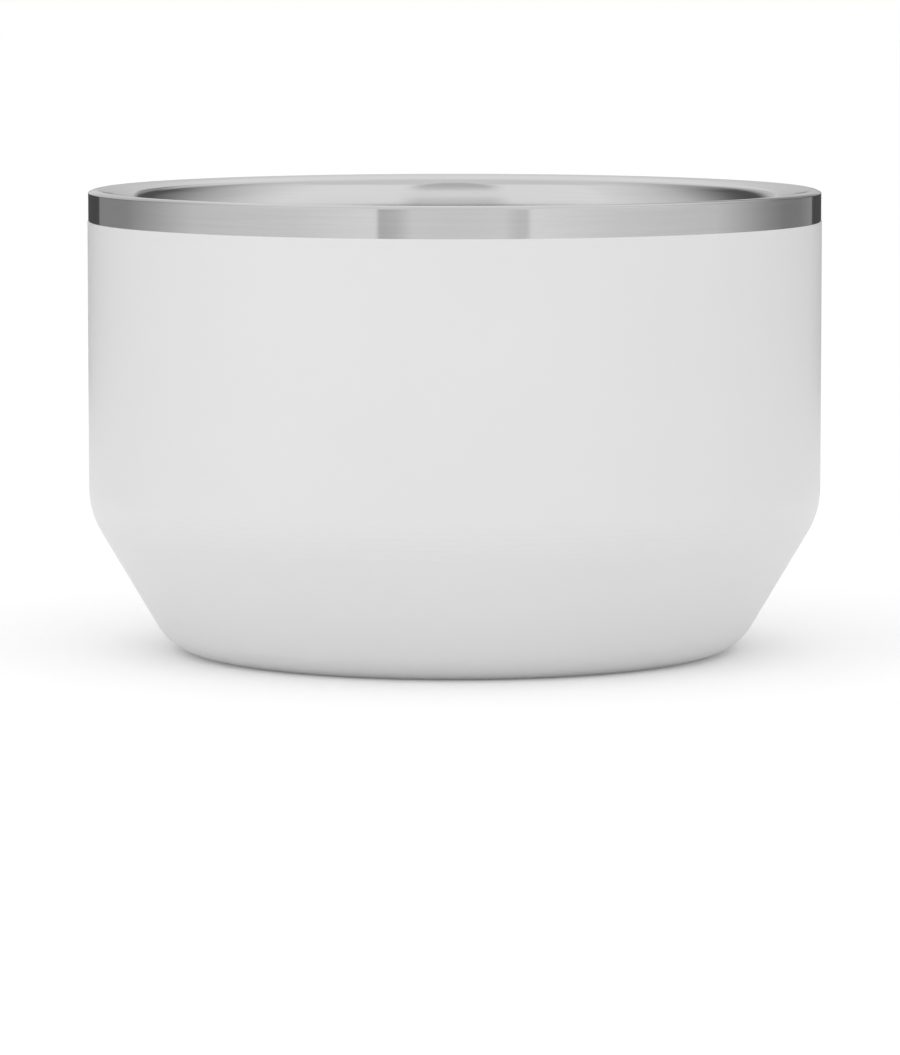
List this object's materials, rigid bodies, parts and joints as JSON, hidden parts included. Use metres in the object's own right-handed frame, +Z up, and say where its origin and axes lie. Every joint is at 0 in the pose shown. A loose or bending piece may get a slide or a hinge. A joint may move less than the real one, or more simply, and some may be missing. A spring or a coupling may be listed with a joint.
{
  "type": "insulated bowl",
  "caption": "Open double-walled vacuum bowl in stainless steel, with a white coated wall, a cone-shaped lower part, a bare band under the rim and a wide sloping rim.",
  "frame": {"origin": "centre of the standing ring, on the plane that the bowl stands on", "axes": "+Z up along the axis of the bowl, out of its mouth"},
  "size_m": [0.14, 0.14, 0.0881],
  "materials": {
    "shell_steel": "satin, brushed round the axis",
    "white_coat": "smooth satin powder coat",
    "liner_steel": "satin, brushed round the axis",
    "copper_foil": "bright foil",
    "base_steel": "mill finish",
    "cover_steel": "spun, brushed round the axis",
    "sealing_glass": "opaque, glossy",
    "getter_metal": "matt pressed powder"
  },
  "bodies": {
    "root": {"outer_shell": "shell_steel", "powder_coat": "white_coat", "inner_liner": "liner_steel", "radiation_shield": "copper_foil", "outer_base": "base_steel", "base_cover": "cover_steel", "seal_bead": "sealing_glass", "getter_pellet": "getter_metal", "getter_clip": "base_steel"}
  },
  "joints": []
}
